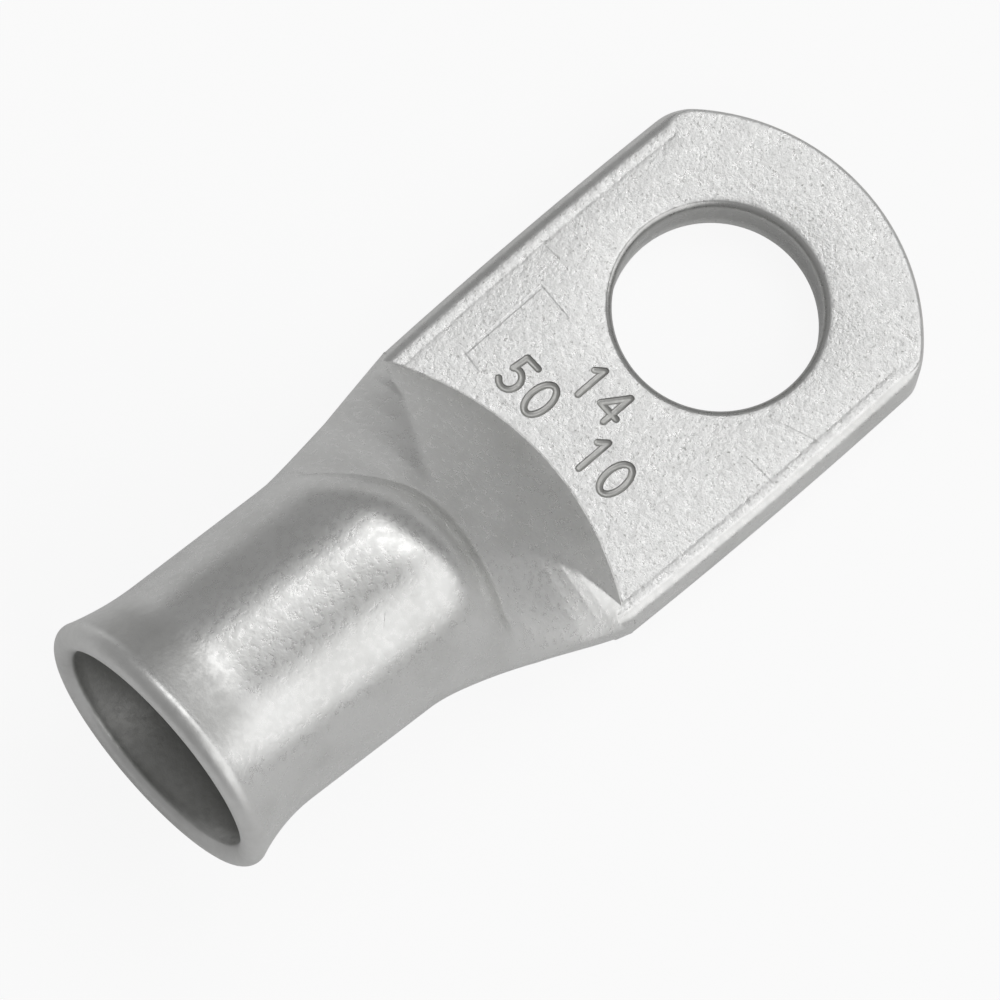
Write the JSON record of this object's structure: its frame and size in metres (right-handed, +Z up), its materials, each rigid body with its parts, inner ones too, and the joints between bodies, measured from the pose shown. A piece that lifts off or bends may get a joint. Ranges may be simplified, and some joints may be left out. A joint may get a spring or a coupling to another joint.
{
  "type": "cable lug",
  "caption": "Tinned copper tube terminal: round barrel with a flared mouth, pressed slope and flat palm with a stud hole.",
  "frame": {"origin": "centre of the stud hole, on the underside of the palm", "axes": "+X along the palm, away from the barrel and its mouth; +Y across the palm; +Z up, out of the palm's stamped face"},
  "size_m": [0.0465, 0.0184, 0.0147],
  "materials": {
    "tinned_copper": "matte tin plating on copper, softly grained, with light handling marks"
  },
  "bodies": {
    "root": {"cable_lug": "tinned_copper"}
  },
  "joints": []
}
